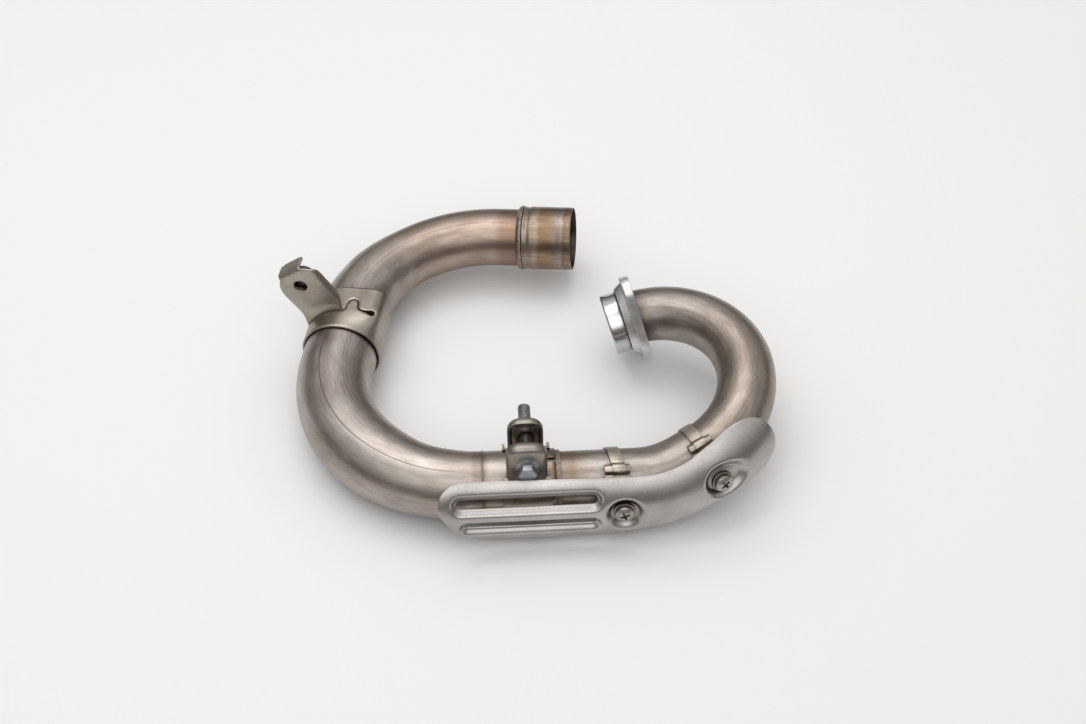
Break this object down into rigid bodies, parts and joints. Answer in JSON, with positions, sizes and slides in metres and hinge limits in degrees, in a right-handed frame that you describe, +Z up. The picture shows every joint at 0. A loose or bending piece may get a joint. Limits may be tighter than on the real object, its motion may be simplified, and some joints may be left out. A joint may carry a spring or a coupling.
{
  "type": "motorcycle exhaust header",
  "caption": "Motorcycle exhaust header: two bent steel tubes in a slip joint, with a loose port flange, hanger clamp and slotted heat shield.",
  "frame": {"origin": "centre of the bounding box's underside, on the floor that the header lies on", "axes": "+X along the length, towards the shield's bent end, +Y from the shielded straight to the muffler sleeve, +Z up as it lies"},
  "size_m": [0.331, 0.2877, 0.0899],
  "materials": {
    "pipe_steel": "satin stainless tube, heat tinted warm grey-brown",
    "sleeve_steel": "satin stainless with gold and blue heat bands",
    "collar_steel": "turned and polished",
    "flange_steel": "pressed steel, grey-silver, slightly dull",
    "weld_steel": "as welded, brown",
    "gasket_graphite": "dull graphite on steel mesh",
    "clamp_steel": "pressed stainless sheet, warm and soiled",
    "bolt_steel": "zinc-plated steel, blue-grey, worn",
    "shield_steel": "satin brushed sheet",
    "screw_steel": "bright zinc-plated steel"
  },
  "bodies": {
    "header": {"port_collar": "collar_steel", "collar_weld": "weld_steel", "front_pipe": "pipe_steel", "joint_gasket": "gasket_graphite", "rear_pipe": "pipe_steel", "bell_weld": "weld_steel", "tail_sleeve": "sleeve_steel", "tail_weld": "weld_steel", "joint_band": "clamp_steel", "joint_ear_near": "clamp_steel", "joint_ear_far": "clamp_steel", "joint_bolt": "bolt_steel", "joint_nut": "bolt_steel", "hanger_band": "clamp_steel", "strap_a": "clamp_steel", "saddle_a": "clamp_steel", "bush_a": "bolt_steel", "washer_a": "screw_steel", "screw_a": "screw_steel", "strap_b": "clamp_steel", "saddle_b": "clamp_steel", "bush_b": "bolt_steel", "washer_b": "screw_steel", "screw_b": "screw_steel", "heat_shield": "shield_steel"},
    "flange": {"port_flange": "flange_steel"}
  },
  "joints": [
    {"name": "flange_swivel", "type": "hinge", "parent": "header", "child": "flange", "pos_m": [0.07627, 0.03043, 0.04079], "axis": [0.9498, 0.196, 0.2439], "continuous": true}
  ]
}
